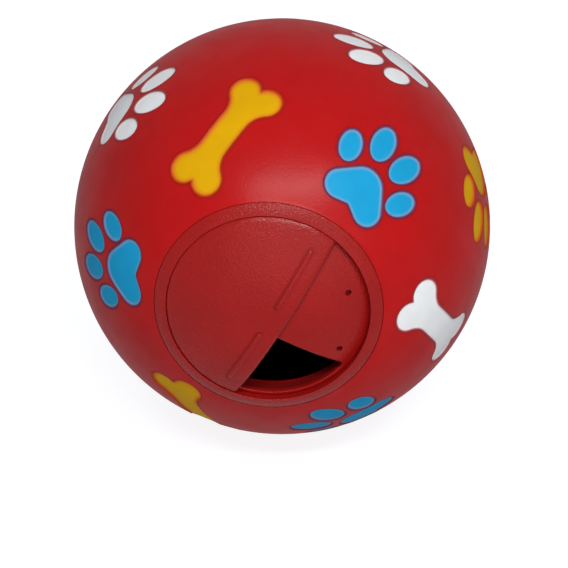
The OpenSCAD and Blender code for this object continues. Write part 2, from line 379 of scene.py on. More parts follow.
def pad(lobe=(6.2, -10.85), lobe_r=5.15, crown=(0.0, -6.2), crown_r=7.0, notch_y=-13.95, askew=4.5):
    """A heart upside down: a round crown, two lobes, and a notch between them."""
    up = np.subtract(crown, lobe)
    slope = math.degrees(math.atan2(up[1], up[0]))
    side = slope - 90 + math.degrees(math.asin((lobe_r - crown_r) / np.hypot(*up)))
    out = np.subtract(lobe, (0.0, notch_y))
    line = math.degrees(math.atan2(out[1], out[0]) - math.asin(lobe_r / np.hypot(*out)))
    right = np.vstack([arc(crown, crown_r, 90, side), arc(lobe, lobe_r, side, line - 90)])
    heart = np.vstack([right, [[0.0, notch_y]], right[:0:-1] * (-1, 1)]) - crown
    turn = np.array(Euler((0, 0, math.radians(askew))).to_matrix())[:2, :2]
    return heart @ turn.T + crown


def bone(knob=(15.7, 4.4), knob_r=5.2, half_shaft=4.9, flare_r=8.0):
    """A bone, drawn as a quarter and mirrored twice."""
    flare_y = half_shaft + flare_r
    reach = math.sqrt((flare_r + knob_r) ** 2 - (flare_y - knob[1]) ** 2)
    flare = (knob[0] - reach, flare_y)
    turn = math.degrees(math.atan2(flare[1] - knob[1], flare[0] - knob[0]))
    start = -math.degrees(math.asin(knob[1] / knob_r))
    flare_arc = arc(flare, flare_r, turn - 180, -90, 8)
    quarter = np.vstack([arc(knob, knob_r, start, turn, 40), flare_arc[1:]])
    half = np.vstack([quarter, quarter[::-1] * (-1, 1)])
    return np.vstack([half, half[::-1][1:-1] * (1, -1)])


RING_STEP = 0.7
OUTER_TOE = {"x": 12.35, "y": 0.7, "half_length": 6.1, "half_width": 4.1, "lean": 22}
INNER_TOE = {"x": 5.35, "y": 10.1, "half_length": 7.15, "half_width": 4.5, "lean": 13}
SHAPES = {
    "paw": [pad()] + [toe(side, **sizes) for sizes in (OUTER_TOE, INNER_TOE) for side in (-1, 1)],
    "bone": [bone()],
}
SHAPES = {kind: [even_steps(o, RING_STEP) for o in outlines] for kind, outlines in SHAPES.items()}
print("outline points:", {kind: sum(len(o) for o in outlines) for kind, outlines in SHAPES.items()})

# %% [markdown]
# ## Where the motifs sit
# A motif's place on the ball takes three angles: how far from the port, how far round it, and
# how it is turned. Those in view are read from the picture, and the rest fill the back of the
# ball in the same loose spacing. The names are those of the CAD model's nodes.

# %% The motifs' places
MOTIFS = {
    "yellow_bone_upper": ("bone", 52, 106, 45),
    "blue_paw_right": ("paw", 49, 51, 166),
    "white_bone_right": ("bone", 53, -14, 54),
    "blue_paw_lower": ("paw", 52, -64, 39),
    "yellow_bone_lower": ("bone", 51, -119, 131),
    "blue_paw_left": ("paw", 50, 173, 185),
    "white_paw_left": ("paw", 81, 135, 69),
    "white_paw_top": ("paw", 95, 61, -63),
    "yellow_paw_right": ("paw", 83, 15.5, 55),
    "white_paw_under": ("paw", 90, -40, -60),
    "yellow_paw_under": ("paw", 88, -153, 60),
    "white_bone_back_left": ("bone", 112, 172, 50),
    "yellow_bone_back_top": ("bone", 128, 98, 135),
    "blue_paw_back_right": ("paw", 122, 22, 170),
    "white_bone_back_right": ("bone", 131, -32, 45),
    "yellow_paw_back_under": ("paw", 119, -92, 30),
    "blue_paw_back_left": ("paw", 132, -146, 190),
    "white_paw_rear": ("paw", 164, 90, 0),
}
TURN_TO_PORT = 90.0


def motif_turn(from_port, round_port, turn):
    """The rotation of a motif from the port's axis to its place; with no turn it points at the port."""
    spin = Euler((0, 0, math.radians(TURN_TO_PORT + turn))).to_matrix()
    lean = Euler((0, math.radians(from_port), math.radians(round_port))).to_matrix()
    return np.array(lean @ spin)


print("motifs:", len(MOTIFS))

# %% [markdown]
# ## The recess as a node group
# Each motif lies in a shallow pressed recess with soft edges: the vinyl rolls over a lip, runs
# down a short slope and levels out. The depth at a point depends only on its distance from the
# outline, so it is one small node group. Both the vinyl and the paint use it, and so they fit
# each other whatever its inputs are set to.

# %% Helpers for geometry trees, and the recess group
def new_tree(name, inputs, outputs):
    """A geometry tree with its input and output nodes; a socket gets a default, or its kind's name."""
    tree = bpy.data.node_groups.new(name, "GeometryNodeTree")
    for in_out, sockets in (("INPUT", inputs), ("OUTPUT", outputs)):
        for socket_name, value in sockets.items():
            kind = value if isinstance(value, str) else type(value).__name__.capitalize()
            socket = tree.interface.new_socket(socket_name, in_out=in_out, socket_type="NodeSocket" + kind)
            if kind != value:
                socket.default_value = value
    return tree, add_node(tree, "NodeGroupInput"), add_node(tree, "NodeGroupOutput")


def stored(tree, name):
    """A float attribute of the mesh."""
    node = add_node(tree, "GeometryNodeInputNamedAttribute", {"Name": name}, data_type="FLOAT")
    return node.outputs["Attribute"]


def vector(tree, **axes):
    """A vector from numbers for some of its axes."""
    return add_node(tree, "ShaderNodeCombineXYZ", axes).outputs[0]


LIP_MM, SLOPE_MM, RECESS_MM = 0.25, 0.60, 0.60
recess_tree, start, end = new_tree(
    "recess_depth",
    {"Edge mm": 0.0, "Lip mm": LIP_MM, "Slope mm": SLOPE_MM, "Depth mm": RECESS_MM},
    {"Depth": "Float"},
)
profile = add_node(recess_tree, "ShaderNodeMapRange", {
    "Value": start.outputs["Edge mm"],
    "From Min": sums(recess_tree, "MULTIPLY", start.outputs["Lip mm"], -1.0),
    "From Max": start.outputs["Slope mm"],
    "To Max": start.outputs["Depth mm"],
}, interpolation_type="SMOOTHSTEP")
plug(recess_tree, end, {"Depth": sums(recess_tree, "MULTIPLY", profile.outputs["Result"], MM)})
print("node group:", recess_tree.name)


def recess_depth(tree, edge):
    """The recess group inside another tree."""
    node = add_node(tree, "GeometryNodeGroup", node_tree=recess_tree)
    plug(tree, node, {"Edge mm": edge})
    return node.outputs["Depth"]


# %% [markdown]
# ## From points to meshes
# A flat sheet of triangles is spun between points by Delaunay's rule, which always picks the
# plumpest triangles. Points stand close together along the outlines, in rings that follow them,
# because that is where the surface bends, and far apart elsewhere. A helper also turns arrays of
# points and faces into a Blender object, and another applies a node tree for good.

# %% Triangles, objects and applied node trees
SAME_POINT, SHARP_ANGLE = 1e-7, 40


def triangles(points, edges=()):
    """Delaunay triangles between flat points, keeping the given edges."""
    made = delaunay_2d_cdt([Vector(p) for p in points], list(edges), [], 0, SAME_POINT)
    source = [s[0] if s else -1 for s in made[3]]
    return [[source[i] for i in face] for face in made[2]]


def plain_mesh(name, points, faces, **attributes):
    """A mesh from points in metres, with numbers that it carries at its points."""
    mesh = bpy.data.meshes.new(name)
    mesh.from_pydata(np.asarray(points).tolist(), [], faces)
    for attribute, values in attributes.items():
        layer = mesh.attributes.new(attribute, "FLOAT", "POINT")
        layer.data.foreach_set("value", np.asarray(values, np.float32))
    return mesh


def new_mesh(name, points, faces, finish=None, **attributes):
    """A smooth mesh with its faces turned outwards, its sharp edges marked, and a finish."""
    mesh = plain_mesh(name, points, faces, **attributes)
    work = bmesh.new()
    work.from_mesh(mesh)
    bmesh.ops.recalc_face_normals(work, faces=work.faces)
    work.to_mesh(mesh)
    work.free()
    mesh.shade_smooth()
    mesh.set_sharp_from_angle(angle=math.radians(SHARP_ANGLE))
    if finish is not None:
        mesh.materials.append(finish)
    return mesh


def new_object(name, mesh):
    """An object of a mesh, at the origin."""
    piece = bpy.data.objects.new(name, mesh)
    bpy.context.scene.collection.objects.link(piece)
    return piece


def apply_tree(name, mesh, tree, values):
    """The plain mesh that a node tree makes of a mesh, with the tree's inputs given by name."""
    carrier = new_object(name + "_carrier", mesh)
    modifier = carrier.modifiers.new(tree.name, "NODES")
    modifier.node_group = tree
    for item in tree.interface.items_tree:
        if item.in_out == "INPUT" and item.name in values:
            modifier[item.identifier] = values[item.name]
    graph = bpy.context.evaluated_depsgraph_get()
    shown = carrier.evaluated_get(graph)
    result = bpy.data.meshes.new_from_object(shown, preserve_all_data_layers=True, depsgraph=graph)
    result.name = name
    carrier.modifiers.remove(modifier)
    bpy.data.objects.remove(carrier)
    return result


def set_position(tree, geometry, position):
    """Geometry with its points moved to a position."""
    inputs = {"Geometry": geometry, "Position": position}
    return add_node(tree, "GeometryNodeSetPosition", inputs).outputs["Geometry"]


def finish_tree(tree, geometry, start, end):
    """Ends a tree in Realize Instances and Set Material."""
    real = add_node(tree, "GeometryNodeRealizeInstances", {"Geometry": geometry})
    coat = add_node(tree, "GeometryNodeSetMaterial", {
        "Geometry": real.outputs["Geometry"], "Material": start.outputs["Material"],
    })
    plug(tree, end, {"Geometry": coat.outputs["Geometry"]})


print("triangles across a square:", len(triangles(square)))

# %% [markdown]
# ## The ball's skin: its points
# The skin is one rotocast shell, smooth but for the recesses. A plain UV sphere would waste
# points at its poles and have too few along the outlines. Instead an even spiral covers the
# ball, and rings of points follow each outline, inside and outside it. Every point keeps its
# distance from the nearest outline, for the node tree.

# %% Points over the ball
SKIN_STEP, HEX_ROW = 1.75, 0.866
OPENING_R, LIP_CLEAR = 36.75, 1.4
MOTIF_REACH, CLEAR_OUTSIDE, CLEAR_INSIDE = 25, -1.7, 1.4
RINGS_MM = (-1.0, -0.7, -0.4, -0.25, -0.12, 0.0, 0.15, 0.35, 0.6, 0.85)


def spiral(radius, step):
    """Points on a ball at an even spacing, along a spiral from pole to pole."""
    count = round(4 * math.pi * radius ** 2 / (HEX_ROW * step ** 2))
    index = np.arange(count) + 0.5
    height = 1 - 2 * index / count
    around = index * math.pi * (3 - math.sqrt(5))
    flat = np.sqrt(1 - height ** 2)
    return radius * np.column_stack([flat * np.cos(around), flat * np.sin(around), height])


def on_ball(flat, radius=SKIN_R):
    """Flat points lifted straight up onto a ball."""
    height = np.sqrt(radius ** 2 - (flat ** 2).sum(1))
    return np.column_stack([flat, height])


def level(dome, radius):
    """Height at which a dome stands over a radius from the axis."""
    return math.sqrt(dome ** 2 - radius ** 2)


ball_points = spiral(SKIN_R, SKIN_STEP)
ball_points = ball_points[ball_points[:, 2] < level(SKIN_R, OPENING_R + LIP_CLEAR)]
ball_edge = np.full(len(ball_points), PLAIN_MARK)
ring_points, ring_edge = [], []
for kind, *angles in MOTIFS.values():
    turn = motif_turn(*angles)
    local = ball_points @ turn
    near = np.flatnonzero((local[:, 2] > 0) & (np.hypot(local[:, 0], local[:, 1]) < MOTIF_REACH))
    ball_edge[near] = np.maximum(ball_edge[near], depth_inside(local[near, :2], SHAPES[kind]))
    for distance in RINGS_MM:
        ring = np.vstack(ring_at(SHAPES[kind], distance))
        ring_points.append(on_ball(ring) @ turn.T)
        ring_edge.append(np.full(len(ring), distance))
clear = (ball_edge < CLEAR_OUTSIDE) | (ball_edge > CLEAR_INSIDE)
print("spiral points:", clear.sum(), "ring points:", sum(len(r) for r in ring_points))

# %% [markdown]
# ## The ball's skin: its surface
# To spin triangles on a ball, its points are laid flat by the stereographic projection from
# the port: that keeps circles round, so the plumpest triangles in the plane are the plumpest on
# the ball. The shell's thickness is turned about the port's axis: the lip, the rebate
# that the insert's rim lies in, the thick collar that its skirt snaps behind, and the inside.

# %% The shell's profile
PORT_STEPS, INSIDE_ROWS = 240, 64
INNER_R = BALL_R - 3.0
REBATE_DOME, COLLAR_IN, COLLAR_OUT, COLLAR_Z = 67.85, 33.55, 38.55, 52.95
LIP_ROUND, LIP_BEAD, BEAD_W = 0.15, 0.06, 0.4
BEAD_STEPS = (0.2, 0.4, 0.65, 1.0)


def turned(profile, steps):
    """A profile of radius and height, turned about the axis: one row of points for each."""
    around = 2 * math.pi * np.arange(steps) / steps
    circle = np.column_stack([np.cos(around), np.sin(around)])
    return np.vstack([np.column_stack([r * circle, np.full(steps, z)]) for r, z, *_ in profile])


def band_faces(first, second, steps):
    """Faces between two rows of points that start at the given indices."""
    return [
        [first + i, first + (i + 1) % steps, second + (i + 1) % steps, second + i]
        for i in range(steps)
    ]


lip_top = level(SKIN_R, OPENING_R + LIP_ROUND) + LIP_BEAD - LIP_ROUND
shell_profile = [
    (OPENING_R + LIP_ROUND - LIP_ROUND * math.sin(a), lip_top + LIP_ROUND * math.cos(a))
    for a in np.radians(np.arange(0, 91, 18))
]
shell_profile += [
    (OPENING_R, level(REBATE_DOME, OPENING_R)),
    (COLLAR_IN, level(REBATE_DOME, COLLAR_IN)),
    (COLLAR_IN, COLLAR_Z),
    (COLLAR_OUT, COLLAR_Z),
    (COLLAR_OUT, level(INNER_R, COLLAR_OUT)),
]
for a in np.linspace(math.asin(COLLAR_OUT / INNER_R), math.pi, INSIDE_ROWS)[1:-1]:
    shell_profile.append((INNER_R * math.sin(a), INNER_R * math.cos(a)))
lip_rows = shell_profile[:1]
for distance in BEAD_STEPS:
    r = OPENING_R + LIP_ROUND + distance
    lip_rows.append((r, level(SKIN_R, r) + LIP_BEAD * math.exp(-(distance / BEAD_W) ** 2)))
print("rows of the shell's profile:", len(shell_profile), "and on the lip:", len(lip_rows))

# %% The shell
LIP_BOTTOM = 55.0

outer = np.vstack([turned(lip_rows, PORT_STEPS), ball_points[clear]] + ring_points)
lip_edge = np.full(PORT_STEPS * len(lip_rows), PLAIN_MARK)
outer_edge = np.concatenate([lip_edge, ball_edge[clear]] + ring_edge)
unit = outer / np.linalg.norm(outer, axis=1)[:, None]
skin_faces = triangles(unit[:, :2] / (1 - unit[:, 2:]))
inside_rows = turned(shell_profile[1:], PORT_STEPS)
points = np.vstack([outer, inside_rows, [[0, 0, -INNER_R]]])
row_starts = [0] + [len(outer) + PORT_STEPS * i for i in range(len(shell_profile) - 1)]
for first, second in zip(row_starts, row_starts[1:]):
    skin_faces += band_faces(first, second, PORT_STEPS)
last = row_starts[-1]
skin_faces += [[last + i, last + (i + 1) % PORT_STEPS, len(points) - 1] for i in range(PORT_STEPS)]
inside_edge = np.where(inside_rows[:, 2] > LIP_BOTTOM, LIP_MARK, INSIDE_MARK)
edges_mm = np.concatenate([outer_edge, inside_edge, [INSIDE_MARK]])
flat_skin = new_mesh("flat_skin", in_place(points), skin_faces, None, edge_mm=edges_mm)
print("shell points:", len(points), "faces:", len(skin_faces))

# %% [markdown]
# ## Pressing the recesses
# A node tree moves every point towards the ball's centre by the recess group's depth. It could
# be done with a displacement texture, but then the edge would be only as sharp as the
# texture. The points already follow the outlines, so a rule on their distance gives a clean lip.

# %% The pressed skin
MESH, FINISH = {"Geometry": "Geometry"}, {"Material": "Material"}
press_tree, start, end = new_tree("pressed_skin", {**MESH, "Ball radius": BALL_R * MM, **FINISH}, MESH)
centre = vector(press_tree, Z=start.outputs["Ball radius"])
place = add_node(press_tree, "GeometryNodeInputPosition").outputs[0]
outwards = vectors(press_tree, "NORMALIZE", vectors(press_tree, "SUBTRACT", place, centre))
drop = recess_depth(press_tree, stored(press_tree, "edge_mm"))
pressed = vectors(press_tree, "SUBTRACT", place, vectors(press_tree, "SCALE", outwards, drop))
finish_tree(press_tree, set_position(press_tree, start.outputs["Geometry"], pressed), start, end)

ball_skin = new_object("ball_skin", apply_tree("ball_skin", flat_skin, press_tree, {"Material": vinyl}))
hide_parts("ball_shell")
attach(ball_skin, "ball")
print("ball skin faces:", len(ball_skin.data.polygons))

# %% [markdown]
# ## The painted motifs
# The coat fills a recess with a film that climbs its slopes and feathers out past the lip. It is
# drawn flat as two layers joined at the border, and a node tree wraps it: it lifts each point
# onto the ball, lowers it by the recess's depth less the film's thickness, and turns the motif
# to its place. One tree with named inputs serves all eighteen. The coat's rings of points follow
# the same distances as the skin's, so the film lies close on it.

# %% Flat coats
COAT_RINGS_MM = (-0.4, -0.25, -0.12, 0.0, 0.15, 0.35, 0.6, 0.85, 1.2)
SPOT_RINGS_MM = (0.4, 0.7, 0.86, 0.9, 0.95, 1.0, 1.05, 1.2, 1.5)
COAT_STEP = 1.6
SPOT_CLEAR, RING_CLEAR = 0.4, 0.5


def hex_grid(outlines, step):
    """An even grid of flat points over the box of some outlines."""
    every = np.vstack(outlines)
    low, high = every.min(0), every.max(0)
    rows = np.arange(low[1], high[1] + step, step * HEX_ROW)
    columns = np.arange(low[0] - step, high[0] + step, step)
    x, y = np.meshgrid(columns, rows)
    x = x + (np.arange(len(rows)) % 2)[:, None] * step / 2
    return np.column_stack([x.ravel(), y.ravel()])


def spot_rings(spot):
    """Rings of flat points round a small spot, with its middle."""
    rings = [arc(spot, r, 0, 360, max(8, round(24 * r)))[:-1] for r in SPOT_RINGS_MM]
    return np.vstack([[spot]] + rings)


def flat_sheet(outlines, rings, step, spots=()):
    """Points, triangles, depths and border point numbers of a flat shape; the first ring is its border."""
    border_rings = ring_at(outlines, rings[0])
    kept = list(border_rings)
    depths = [np.full(len(ring), rings[0]) for ring in border_rings]
    for distance in rings[1:]:
        ring = np.vstack(ring_at(outlines, distance))
        kept.append(ring)
        depths.append(np.full(len(ring), distance))
    grid = hex_grid(outlines, step)
    for spot in spots:
        grid = grid[np.hypot(*(grid - spot).T) > SPOT_RINGS_MM[-1] + SPOT_CLEAR * step]
    grid = np.vstack([grid] + [spot_rings(spot) for spot in spots])
    grid_depth = depth_inside(grid, outlines)
    good = grid_depth > rings[-1] + RING_CLEAR * step
    points = np.vstack(kept + [grid[good]])
    starts = np.cumsum([0] + [len(ring) for ring in border_rings])
    borders = [np.arange(a, b) for a, b in zip(starts, starts[1:])]
    edges = [(int(i), int(j)) for b in borders for i, j in zip(b, np.roll(b, -1))]
    faces = np.array(triangles(points, edges))
    faces = faces[depth_inside(points[faces].mean(1), border_rings) > 0]
    return points, faces, np.concatenate(depths + [grid_depth[good]]), borders


def flat_coat(kind):
    """A motif's coat as two flat layers that share their border."""
    points, faces, depths, borders = flat_sheet(SHAPES[kind], COAT_RINGS_MM, COAT_STEP)
    border_count = sum(len(b) for b in borders)
    under = np.arange(len(points))
    under[border_count:] += len(points) - border_count
    both = np.vstack([points, points[border_count:]])
    layers = faces.tolist() + under[faces][:, ::-1].tolist()
    top = np.concatenate([np.ones(len(points)), np.zeros(len(points) - border_count)])
    edge = np.concatenate([depths, depths[border_count:]])
    flat = np.column_stack([both * MM, np.zeros(len(both))])
    mesh = plain_mesh("flat_" + kind, flat, layers, edge_mm=edge, top=top)
    mesh.shade_smooth()
    return mesh


FLAT_COATS = {kind: flat_coat(kind) for kind in SHAPES}
print("coat faces:", {kind: len(mesh.polygons) for kind, mesh in FLAT_COATS.items()})

# %% The wrapping tree
FILM_MM, UNDER_FILM_MM = 0.09, 0.01
FEATHER_MM, FEATHER_LEAST = 0.25, 0.2


def rotation(tree, **angles):
    """A rotation by angles in radians about some of the axes."""
    return add_node(tree, "FunctionNodeEulerToRotation", {0: vector(tree, **angles)}).outputs[0]


def turned_in_tree(tree, geometry, turn, lift=0.0):
    """Geometry turned by a rotation and then lifted."""
    inputs = {"Geometry": geometry, "Rotation": turn, "Translation": vector(tree, Z=lift)}
    return add_node(tree, "GeometryNodeTransform", inputs).outputs["Geometry"]


wrap_tree, start, end = new_tree("motif_on_ball", {
    **MESH, "Ball radius": BALL_R * MM, "Skin radius": SKIN_R * MM, "Film mm": FILM_MM,
    "From port": 0.0, "Round port": 0.0, "Turn": 0.0, **FINISH,
}, MESH)
place = add_node(wrap_tree, "GeometryNodeInputPosition").outputs[0]
skin_r = start.outputs["Skin radius"]
lift = sums(wrap_tree, "SQRT", sums(
    wrap_tree, "SUBTRACT",
    sums(wrap_tree, "POWER", skin_r, 2.0),
    sums(wrap_tree, "POWER", vectors(wrap_tree, "LENGTH", place), 2.0),
))
edge = stored(wrap_tree, "edge_mm")
feather = add_node(wrap_tree, "ShaderNodeMapRange", {
    "Value": edge, "From Max": FEATHER_MM, "To Min": FEATHER_LEAST,
}, interpolation_type="SMOOTHSTEP")
film = sums(wrap_tree, "MULTIPLY", feather.outputs["Result"], start.outputs["Film mm"])
film = sums(wrap_tree, "MULTIPLY", sums(wrap_tree, "MULTIPLY", film, MM), stored(wrap_tree, "top"))
film = sums(wrap_tree, "ADD", film, UNDER_FILM_MM * MM)
depth = sums(wrap_tree, "SUBTRACT", recess_depth(wrap_tree, edge), film)
ray = vectors(wrap_tree, "NORMALIZE", vectors(wrap_tree, "ADD", place, vector(wrap_tree, Z=lift)))
seat = vectors(wrap_tree, "SCALE", ray, sums(wrap_tree, "SUBTRACT", skin_r, depth))
shape = set_position(wrap_tree, start.outputs["Geometry"], seat)
spin = sums(wrap_tree, "RADIANS", sums(wrap_tree, "ADD", start.outputs["Turn"], TURN_TO_PORT))
lean = sums(wrap_tree, "RADIANS", start.outputs["From port"])
swing = sums(wrap_tree, "RADIANS", start.outputs["Round port"])
shape = turned_in_tree(wrap_tree, shape, rotation(wrap_tree, Z=spin))
shape = turned_in_tree(wrap_tree, shape, rotation(wrap_tree, Y=lean, Z=swing))
to_front = rotation(wrap_tree, X=math.radians(90))
shape = turned_in_tree(wrap_tree, shape, to_front, start.outputs["Ball radius"])
finish_tree(wrap_tree, shape, start, end)
print("node tree:", wrap_tree.name)

# %% The coats in their recesses
for name, (kind, from_port, round_port, turn) in MOTIFS.items():
    colour = name.split("_")[0]
    mesh = apply_tree("coat_" + name, FLAT_COATS[kind].copy(), wrap_tree, {
        "Material": PAINTS[colour],
        "From port": float(from_port),
        "Round port": float(round_port),
        "Turn": float(turn),
    })
    coat = new_object("coat_" + name, mesh)
    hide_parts(name)
    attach(coat, "ball")
print("coats:", len(MOTIFS))

# %% [markdown]
# ## The port's insert
# The insert is one stiff moulding: a rim that lies flush in the vinyl, a domed plate 3 mm lower
# with a quarter window, and a skirt behind it whose bead snaps behind the vinyl's collar. The
# rim and skirt are turned from a profile. Corners of that profile are rounded, because a moulded
# corner always is, and a rounded corner is what catches the light.

# %% Rounded profiles
def rounded(corners, steps=5):
    """A closed profile from corners of radius, height, rounding, and wear and painted shade; a round
    corner is rubbed.
    """
    profile = []
    count = len(corners)
    for i, (r, z, rounding, *wear) in enumerate(corners):
        here = np.array([r, z])
        back = np.array(corners[i - 1][:2]) - here
        on = np.array(corners[(i + 1) % count][:2]) - here
        if rounding == 0:
            profile.append((*here, *(wear or [0.0])))
            continue
        back /= np.hypot(*back)
        on /= np.hypot(*on)
        half = math.acos(np.clip(back @ on, -1, 1)) / 2
        tangent = rounding / math.tan(half)
        middle = here + (back + on) / np.hypot(*(back + on)) * rounding / math.sin(half)
        first = here + back * tangent - middle
        last = here + on * tangent - middle
        for share in np.linspace(0, 1, steps + 1):
            spoke = first * (1 - share) + last * share
            profile.append((*(middle + spoke / np.hypot(*spoke) * rounding), math.sin(math.pi * share)))
    return profile


def turned_ring(profile, steps):
    """Points, faces, and wear and painted shade of a closed profile turned about the axis."""
    points = turned(profile, steps)
    wear = np.repeat([p[2] if len(p) > 2 else 0.0 for p in profile], steps)
    starts = [steps * i for i in range(len(profile))]
    faces = []
    for first, second in zip(starts, starts[1:] + starts[:1]):
        faces += band_faces(first, second, steps)
    return points, faces, wear


sample = rounded([(1.0, 0.0, 0.2), (2.0, 0.0, 0.2), (2.0, 1.0, 0)])
print("points of a triangle with two round corners:", len(sample))

# %% The rim, the skirt and the hub
RIM_R, BORE_R, RIM_CROWN, RIM_COLUMNS = 36.7, 32.78, 0.12, 13
RIM_DOME, SEAT_DOME, PLATE_DOME, PLATE_LOW = 69.95, 67.95, 67.0, 64.8
SKIRT_IN, SKIRT_OUT, SKIRT_Z = 31.45, 33.45, 50.75
GRIP_OUT, GRIP_TOP, GRIP_LOW = SKIRT_OUT + 0.9, SKIRT_Z + 2.0, SKIRT_Z + 1.0
RIM_ROUND, BORE_ROUND, SMALL_ROUND, SKIRT_ROUND = 0.25, 0.15, 0.2, 0.4
SHADE_DOWN, WELD_UP, SKIRT_WALL_SHADE = 3.0, 0.8, -0.7
HUB_IN, HUB_OUT, HUB_LOW, HUB_TOP, HUB_ROUND = 4.08, 6.38, 60.0, 64.9, 0.3
HUB_STEPS = 72


def crowned(r):
    """A corner of the rim's face: it is a little lower at its two edges than along its middle."""
    aside = (2 * r - BORE_R - RIM_R) / (RIM_R - BORE_R)
    return r, level(RIM_DOME, r) - RIM_CROWN * aside ** 2


rim_middle = [(*crowned(r), 0) for r in np.linspace(BORE_R, RIM_R, RIM_COLUMNS)[1:-1]]
rim_profile = rounded(
    [(*crowned(BORE_R), BORE_ROUND)] + rim_middle + [
        (*crowned(RIM_R), RIM_ROUND),
        (RIM_R, level(SEAT_DOME, RIM_R), SMALL_ROUND),
        (SKIRT_OUT, level(SEAT_DOME, SKIRT_OUT), 0),
        (SKIRT_OUT, GRIP_TOP, 0),
        (GRIP_OUT, GRIP_TOP, SMALL_ROUND),
        (GRIP_OUT, GRIP_LOW, SMALL_ROUND),
        (SKIRT_OUT, SKIRT_Z, SMALL_ROUND),
        (SKIRT_IN, SKIRT_Z, SKIRT_ROUND),
        # The skirt's inner wall below the window is painted darker, as painted shade.
        (SKIRT_IN, level(PLATE_LOW, SKIRT_IN) - SHADE_DOWN, 0, SKIRT_WALL_SHADE),
        (SKIRT_IN, level(PLATE_LOW, SKIRT_IN) + WELD_UP, 0, SKIRT_WALL_SHADE),
        (BORE_R, level(PLATE_LOW, BORE_R) + WELD_UP, 0),
    ]
)
rim_part = turned_ring(rim_profile, PORT_STEPS)
hub_profile = rounded([
    (HUB_IN, HUB_LOW, SMALL_ROUND), (HUB_OUT, HUB_LOW, HUB_ROUND),
    (HUB_OUT, HUB_TOP, 0), (HUB_IN, HUB_TOP, 0),
])
hub_part = turned_ring(hub_profile[::-1], HUB_STEPS)
print("rim points:", len(rim_part[0]), "hub points:", len(hub_part[0]))

# %% [markdown]
# ## Domed sheets
# The plate, the shutter and the shutter's ribs are all sheets of some outline that lie on a
# dome. So one function makes them: it triangulates the outline, lifts it onto the upper dome
# with the edge rounded off on a quarter ellipse, copies it onto the lower dome, and closes the
# sides. A rib also stands on a flat foot, the crease where it meets the disc. A Bevel modifier
# could round the edges instead, but on a curved edge with many points it makes slivers.

# %% The domed sheet
EDGE_STEPS = (0.0, 0.05, 0.15, 0.35, 0.65, 1.0)
FOOT_STEPS = (0.0, 0.35, 0.7)
# At a rib's foot the number is below zero, a painted shade in the crease; near its top edge it is above
# zero, a rubbed edge.
FOOT_WEAR_AND_SHADE = (0.0, -1.0, -1.0, -0.3, 0.6, 0.0)


def domed_sheet(outlines, low, high, edge, step, spots=(), foot=0.0):
    """Points, faces, and wear and painted shade of a closed sheet between two domes; its edge has a width
    and a drop.
    """
    width, drop = edge
    rings = [foot + width * share for share in EDGE_STEPS]
    foot_rings = [foot * share for share in FOOT_STEPS]
    if foot > 0:
        rings = foot_rings + rings
    points, faces, depths, borders = flat_sheet(outlines, rings, step, spots)
    inner = np.clip(foot + width - depths, 0, width) / width
    sunk = drop * (1 - np.sqrt(1 - inner ** 2))
    wear = np.interp(depths, [foot, foot + 0.5 * width, foot + width], [1.0, 1.0, 0.0])
    if foot > 0:
        worn_at = foot_rings + [foot, foot + 0.4 * width, foot + width]
        wear = np.interp(depths, worn_at, FOOT_WEAR_AND_SHADE)
    across = (points ** 2).sum(1)
    top = np.column_stack([points, np.sqrt(high ** 2 - across) - sunk])
    under = np.column_stack([points, np.sqrt(low ** 2 - across)])
    count = len(points)
    sheet = faces.tolist() + (faces[:, ::-1] + count).tolist()
    for border in borders:
        following = np.roll(border, -1)
        sheet += np.column_stack([border, border + count, following + count, following]).tolist()
    return np.vstack([top, under]), sheet, np.concatenate([wear, np.zeros(count)])


small_square = even_steps(square, spacing=0.4)
sample = domed_sheet([small_square], low=66.0, high=67.0, edge=(0.2, 0.2), step=0.4)
print("sheet of a small square:", len(sample[1]), "faces")

# %% [markdown]
# ## The plate, its window and its click stops
# The plate is a domed sheet with two holes: the quarter window, whose corners are slightly
# rounded, and the bore for the shutter's stud. Eight small blind holes in a circle hold the
# shutter where it is set. They repeat, so a node tree makes them: it places points on a circle,
# measures each vertex's distance to the nearest one, and sinks the vertices near it straight down.

# %% The plate's sheet
WINDOW_R, WINDOW_OFFSET, WINDOW_CORNER = 31.25, 5.0, 1.2
CLICK_AT, CLICK_R, CLICK_DEPTH, CLICK_COUNT = 26.5, 1.0, 1.4, 8
CLICK_SLANT, CLICK_BRIM, HOLE_MARGIN = 0.14, 1.3, 0.02
PLATE_EDGE, PLATE_STEP, PLATE_OVERLAP = (0.6, 0.5), 1.3, 0.2
UNDER_PLATE_SHADE, BRIM_WEAR, HOLE_SHADE = -0.7, 0.8, -0.75


def window_outline(q=WINDOW_CORNER):
    """A quarter disc off the axis, with corners of a radius."""
    near = WINDOW_OFFSET + q
    far = math.sqrt((WINDOW_R - q) ** 2 - near ** 2)
    right = math.degrees(math.atan2(-near, far))
    return np.vstack([
        arc((near, -near), q, 90, 180, 6),
        arc((near, -far), q, 180, 270 - right, 8),
        arc((0, 0), WINDOW_R, -90 - right, right, 60),
        arc((far, -near), q, right, 90, 8),
    ])


circle = arc((0, 0), 1.0, 0, 360, PORT_STEPS)[:-1]
window = even_steps(window_outline(), spacing=0.5)[::-1]
bore = even_steps(HUB_IN * circle, spacing=0.6)[::-1]
plate_rim = even_steps((BORE_R + PLATE_OVERLAP) * circle, spacing=0.8)
clicks = arc((0, 0), CLICK_AT, 0, 360, CLICK_COUNT)[:-1]
points, faces, plate_wear = domed_sheet(
    [plate_rim, window, bore], PLATE_LOW, PLATE_DOME, PLATE_EDGE, PLATE_STEP, clicks
)
# The plate's underside and the bottoms of the click holes are painted darker, as painted shade.
plate_wear[len(plate_wear) // 2:] = UNDER_PLATE_SHADE
from_click = np.min([np.hypot(*(points[:, :2] - spot).T) for spot in clicks], axis=0)
plate_wear[from_click < CLICK_BRIM] = BRIM_WEAR
plate_wear[from_click < CLICK_R - HOLE_MARGIN] = HOLE_SHADE
upright_plate = new_mesh("upright_plate", points * MM, faces)
print("plate points:", len(points))

